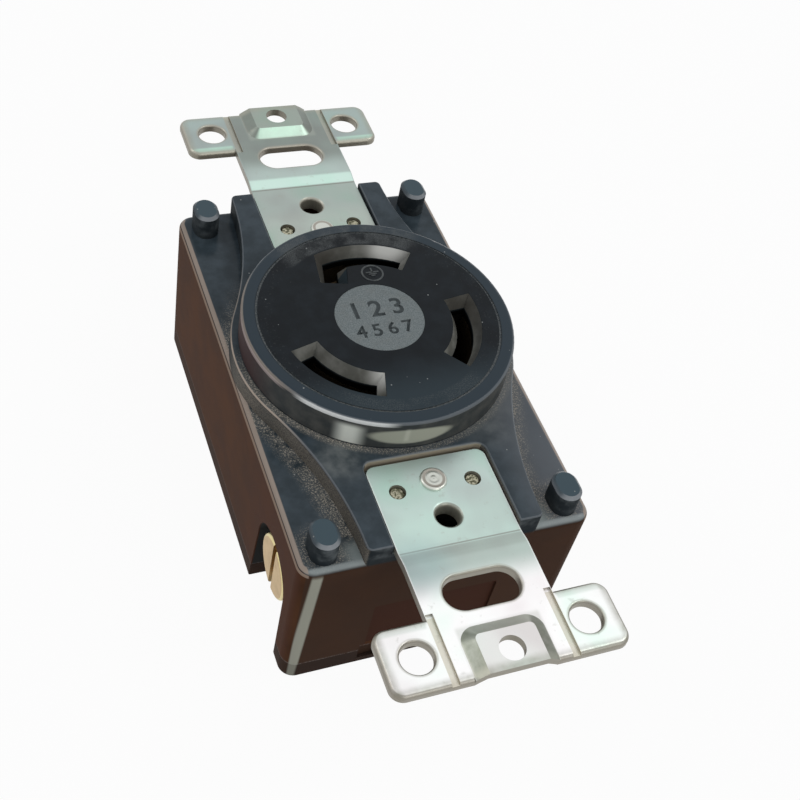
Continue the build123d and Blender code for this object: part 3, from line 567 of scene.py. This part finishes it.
def stamp(text, middle, low, height):
    """A bold character of this height as a closed solid, from below the disc's top to above it."""
    curve = bpy.data.curves.new("figure", "FONT")
    curve.body = text
    curve.offset = figure_weight
    writing = bpy.data.objects.new("figure", curve)
    bpy.context.collection.objects.link(writing)
    bpy.context.view_layer.update()
    mesh = bpy.data.meshes.new_from_object(writing)
    bpy.data.objects.remove(writing)
    shape = bmesh.new()
    shape.from_mesh(mesh)
    bpy.data.meshes.remove(mesh)
    bmesh.ops.remove_doubles(shape, verts=shape.verts, dist=1e-5)
    xs = [v.co.x for v in shape.verts]
    ys = [v.co.y for v in shape.verts]
    font_middle = (min(xs) + max(xs)) / 2
    font_low = min(ys)
    scale = height / (max(ys) - font_low)
    for v in shape.verts:
        x = middle + (v.co.x - font_middle) * scale
        y = low + (v.co.y - font_low) * scale
        v.co = Vector((x, y, disc_top - figure_depth)) * mm
    grown = bmesh.ops.extrude_face_region(shape, geom=shape.faces[:])["geom"]
    upper_points = [v for v in grown if isinstance(v, bmesh.types.BMVert)]
    bmesh.ops.translate(shape, verts=upper_points, vec=(0, 0, 2 * figure_depth * mm))
    bmesh.ops.recalc_face_normals(shape, faces=shape.faces)
    return shape


disc = Finish("disc_insert")
grain = disc.noise(0.14, detail=2)
cloud = disc.noise(2.0)
stamped = disc.z.rise(disc_top - 0.03, disc_top - 0.09)
stamped = stamped * disc.radius().rise(disc_radius - 0.1, disc_radius - 0.3)
colour = disc.mix(grain.rise(0.3, 0.7), *disc_greys)
colour = disc.paint(colour, [
    (cloud.rise(0.4, 0.8) * 0.4, (0.18, 0.19, 0.18)),
    # Painted shade: the stamped figures' floors are darker and their walls near black
    (stamped * 0.85, (0.075, 0.090, 0.095)),
    (stamped * disc.up.rise(0.6, 0.3), (0.012, 0.015, 0.017)),
])
shader = disc.surface(
    Base_Color=colour, Roughness=0.6 + cloud * 0.1, Specular_IOR_Level=0.25, Normal=disc.bump(grain, 0.03)
)
disc_material = disc.close(shader)
disc_shape = turned([
    (0, disc_top - disc_thickness),
    (disc_radius, disc_top - disc_thickness),
    (disc_radius, disc_top - disc_edge),
    (disc_radius - disc_edge, disc_top),
    (0, disc_top),
])
rating_disc = new_piece("rating_disc_stamped", disc_shape, disc_material)
figures = [
    (text[place], (place - (len(text) - 1) / 2) * pitch, low, height)
    for text, low, height, pitch in figure_rows
    for place in range(len(text))
]
for figure in figures:
    cutter = new_piece(f"figure_{figure[0]}", stamp(*figure), disc_material)
    cut = rating_disc.modifiers.new(cutter.name, "BOOLEAN")
    cut.operation = "DIFFERENCE"
    cut.solver = "MANIFOLD"
    cut.object = cutter
    bpy.context.view_layer.update()
    cut_disc = rating_disc.evaluated_get(bpy.context.evaluated_depsgraph_get())
    rating_disc.data = bpy.data.meshes.new_from_object(cut_disc)
    rating_disc.modifiers.clear()
    bpy.data.objects.remove(cutter)
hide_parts("rating_disc")
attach(rating_disc, "root")

# Earth mark: the generic symbol, a raised ring with a stem and three bars, moulded on the face beside
# the ground slot. It is of the housing's own material, a little worn on top.
mark_place = (1.73, 8.40)
mark_radius = 1.65
mark_rise = 0.12
mark_width = 0.26
mark_sink = 0.1
stroke = mark_width * 0.8
stem_middle = 0.55
stem_length = 0.9
bars = [(0.15, 0.95), (-0.2, 0.62), (-0.52, 0.30)]
mark_foot = face_level - mark_sink
mark_edge = face_level + mark_rise * 0.6
mark_top = face_level + mark_rise
mark_shape = turned([
    (mark_radius - mark_width, mark_foot),
    (mark_radius, mark_foot),
    (mark_radius, mark_edge),
    (mark_radius - mark_width * 0.3, mark_top),
    (mark_radius - mark_width * 0.7, mark_top),
    (mark_radius - mark_width, mark_edge),
    (mark_radius - mark_width, mark_foot),
], steps=64)
strokes = [(stem_middle, stroke, stem_length)] + [(y, 2 * half, stroke) for y, half in bars]
for y, width, length in strokes:
    for v in bmesh.ops.create_cube(mark_shape, size=1)["verts"]:
        level = mark_top if v.co.z > 0 else mark_foot
        v.co = Vector((v.co.x * width, y + v.co.y * length, level)) * mm
for v in mark_shape.verts:
    v.co += Vector((*mark_place, 0)) * mm
mark = Finish("housing_mark")
wear = mark.noise(0.3)
colour = mark.mix(wear.rise(0.3, 0.7), (0.05, 0.056, 0.06), (0.10, 0.11, 0.11))
shader = mark.surface(Base_Color=colour, Roughness=0.35 + wear * 0.2, Specular_IOR_Level=0.2)
earth_mark = new_piece("earth_mark", mark_shape, mark.close(shader))
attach(earth_mark, "root")

# Mounting straps: two steel pressings, one riveted in each end of the housing, with a thin yellow and
# green zinc plating. The two straps are painted as lit and shaded copies of it, with the near strap's
# tongue and ears painted near white as a painted reflection. The cut edges and the hole walls are
# dull and a little brown.
bend_start = 34.5
bend_end = 37.0
pad_half_width = 5.6
pad_start = 46.3
score_middle = 7.95
ear_hole = (11.27, 48.72)
slot_half_run = 2.7
slot_along = 41.65
# The far strap is painted darker, with painted highlights on its bend, its pad's slopes and its ears' inner
# edge; the near strap's tongue, ears and pad are painted near white as a painted reflection, with painted
# shade on its bend and slopes
strap_looks = {
    "mounting_strap_top": {
        "plate": (0.43, 0.49, 0.45),
        "outer_plate": (0.39, 0.45, 0.42),
        "bend": (0.62, 0.80, 0.73),
        "middle": (0.45, 0.54, 0.51),
        "tongue": (0.27, 0.315, 0.29),
        "ears": (0.38, 0.46, 0.44),
        "pad": (0.33, 0.38, 0.34),
        "slope": (0.62, 0.86, 0.72),
        "side_slope": (0.17, 0.20, 0.18),
        "edge": (0.50, 0.74, 0.62),
        "rim": (0.36, 0.34, 0.29),
        "score": 0.3,
        "shade": 0.0,
    },
    "mounting_strap_bottom": {
        "plate": (0.53, 0.65, 0.61),
        "outer_plate": (0.56, 0.72, 0.66),
        "bend": (0.42, 0.50, 0.46),
        "middle": (0.47, 0.56, 0.52),
        "tongue": (1.0, 1.0, 1.0),
        "ears": (0.98, 1.0, 0.99),
        "pad": (0.80, 0.81, 0.79),
        "slope": (0.40, 0.43, 0.37),
        "side_slope": (0.17, 0.19, 0.15),
        "edge": (0.74, 0.80, 0.76),
        "rim": (0.22, 0.205, 0.17),
        "score": 0.7,
        "shade": 0.45,
    },
}
for name, look in strap_looks.items():
    strap = Finish(name.replace("mounting_strap", "strap_steel"))
    along = abs(strap.y)
    across = abs(strap.x)
    level = abs(strap.up)
    film = strap.noise(9.0, detail=2)
    rolled = strap.noise(0.5, detail=3, stretch=(1, 12, 1))
    spots = strap.noise(1.2, detail=3)
    past_score = across.rise(score_middle + 0.3, score_middle + 0.7)
    pad = across.rise(pad_half_width + 0.3, pad_half_width - 0.3)
    pad = pad * along.rise(pad_start - 0.4, pad_start + 0.4)
    slopes = strap.mix(abs(strap.right).rise(0.15, 0.35), look["slope"], look["side_slope"])
    border = across.rise(14.2, 15.4) + along.rise(51.8, 53.0) + along.rise(45.2, 44.3) * across.rise(8.4, 8.8)
    hole_x = across - ear_hole[0]
    hole_y = along - ear_hole[1]
    hole_rim = (hole_x * hole_x + hole_y * hole_y).rise(7.3, 5.6)
    slot_x = (across - slot_half_run).rise(0.0, 0.01) * (across - slot_half_run)
    slot_rim = (slot_x * slot_x + (along - slot_along) ** 2).rise(9.0, 7.2)
    score = across.band(score_middle - 0.5, score_middle + 0.5, 0.08) * along.rise(43.9, 44.1)
    cut_edge = level.rise(0.75, 0.35)
    colour = strap.mix(along.rise(26.5, 30.5), look["plate"], look["outer_plate"])
    colour = strap.paint(colour, [
        # Painted light and shade from the look: the bend, the pad's slopes and the ears' inner edge
        (along.rise(bend_start + 0.1, bend_start + 0.4), look["bend"]),
        (along.rise(bend_end - 0.7, bend_end - 0.1), look["middle"]),
        (along.rise(37.5, 42.5), look["tongue"]),
        (along.band(bend_start - 0.05, bend_start + 0.1, 0.08) * 0.6, (0.22, 0.20, 0.18)),
        (strap.near(-6.5, -37.0, 28.0, 6.5) * look["shade"], (0.30, 0.42, 0.44)),
        (pad, look["pad"]),
        (pad * level.rise(0.985, 0.93) * (0.7 + spots * 0.4), slopes),
        (past_score, look["ears"]),
        (across.rise(8.6, 9.0) * along.rise(45.6, 45.1) * 0.8, look["edge"]),
        # Painted shade, mottled, on the ears' rolled borders and round the hole and slot mouths
        (border * (0.3 + spots * 0.6), (0.36, 0.37, 0.31)),
        ((hole_rim + slot_rim) * (0.35 + spots * 0.5), (0.38, 0.38, 0.32)),
        (score * look["score"], (0.66, 0.62, 0.50)),
    ])
    colour = strap.mix(film.rise(0.45, 0.70) * 0.35, colour, (0.74, 0.62, 0.66), "MULTIPLY")
    colour = strap.mix(film.rise(0.5, 0.25) * 0.45, colour, (0.72, 1.0, 0.86), "MULTIPLY")
    colour = strap.paint(colour, [
        (spots.rise(0.62, 0.75) * 0.25, (0.35, 0.35, 0.30)),
        # Painted shade on the rounded edges of the strap
        (level.band(0.45, 0.85, 0.1) * (1 - pad * 0.9) * 0.75, look["rim"]),
        (cut_edge * 0.85, (0.30, 0.27, 0.215)),
    ])
    shader = strap.surface(
        Base_Color=colour,
        Metallic=0.85 - cut_edge * 0.4,
        Roughness=0.34 + rolled * 0.1,
        Normal=strap.bump(rolled, 0.004),
    )
    dress(name, strap.close(shader))

# Strap rivets: soft steel, one through each strap into the housing. The head was turned in fine rings
# and is rubbed bright.
rivet_along = 24.45
rivet = Finish("rivet_steel")
from_axis = rivet.radius(rivet_along)
rings = from_axis.math("SINE", from_axis * 9.0)
colour = rivet.mix(from_axis.band(1.2, 1.5, 0.1), (0.60, 0.62, 0.57), (0.36, 0.34, 0.30))
shader = rivet.surface(
    Base_Color=colour, Metallic=0.9, Roughness=0.26 + rivet.noise(0.4) * 0.1, Normal=rivet.bump(rings, 0.02)
)
rivet_steel = rivet.close(shader)
for name in ("strap_rivet_top", "strap_rivet_bottom"):
    dress(name, rivet_steel)

# Assembly screws: plated steel with a yellow tint. They run from the rear cover through the body into
# the straps, and their threaded ends are dull in the straps' small holes.
screw = Finish("screw_steel")
scuffs = screw.noise(0.35, detail=2)
colour = screw.mix(scuffs.rise(0.4, 0.6), (0.10, 0.10, 0.06), (0.50, 0.48, 0.36))
shader = screw.surface(
    Base_Color=colour, Metallic=0.8, Roughness=0.35 + scuffs * 0.2, Normal=screw.bump(scuffs, 0.08)
)
screw_steel = screw.close(shader)
for number in range(1, 5):
    dress(f"assembly_screw_{number}", screw_steel)

# Contacts, clamps, terminal screws and link: brass strip and turned brass held in the contact base,
# with a plated steel link to the strap. The contacts are painted near black as painted shade inside
# the body, the ground screw is dyed green, and the other screws carry a painted highlight on the
# edge of the head.
terminal_looks = [
    ("contact_brass", (0.05, 0.035, 0.02), 0.5, "line_contact_left line_contact_right ground_contact"),
    ("clamp_brass", (0.60, 0.48, 0.26), 0.3, "line_clamp_left line_clamp_right ground_clamp"),
    ("terminal_brass", (0.52, 0.355, 0.15), 0.32, "line_screw_left line_screw_right"),
    ("ground_green", (0.10, 0.30, 0.16), 0.3, "ground_screw"),
    ("link_steel", (0.60, 0.62, 0.56), 0.3, "ground_link"),
]
for finish_name, tint, rough, names in terminal_looks:
    metal = Finish(finish_name)
    tarnish = metal.noise(1.5)
    colour = metal.mix(tarnish.rise(0.35, 0.75) * 0.5, tint, [c * 0.7 for c in tint])
    if finish_name == "terminal_brass":
        # Painted highlight on the sides of the terminal screws' heads
        colour = metal.mix(abs(metal.right).band(0.1, 0.9, 0.1), colour, (0.72, 0.62, 0.33))
    shader = metal.surface(Base_Color=colour, Metallic=0.9, Roughness=rough + tarnish * 0.12)
    finish = metal.close(shader)
    for name in names.split():
        dress(name, finish)
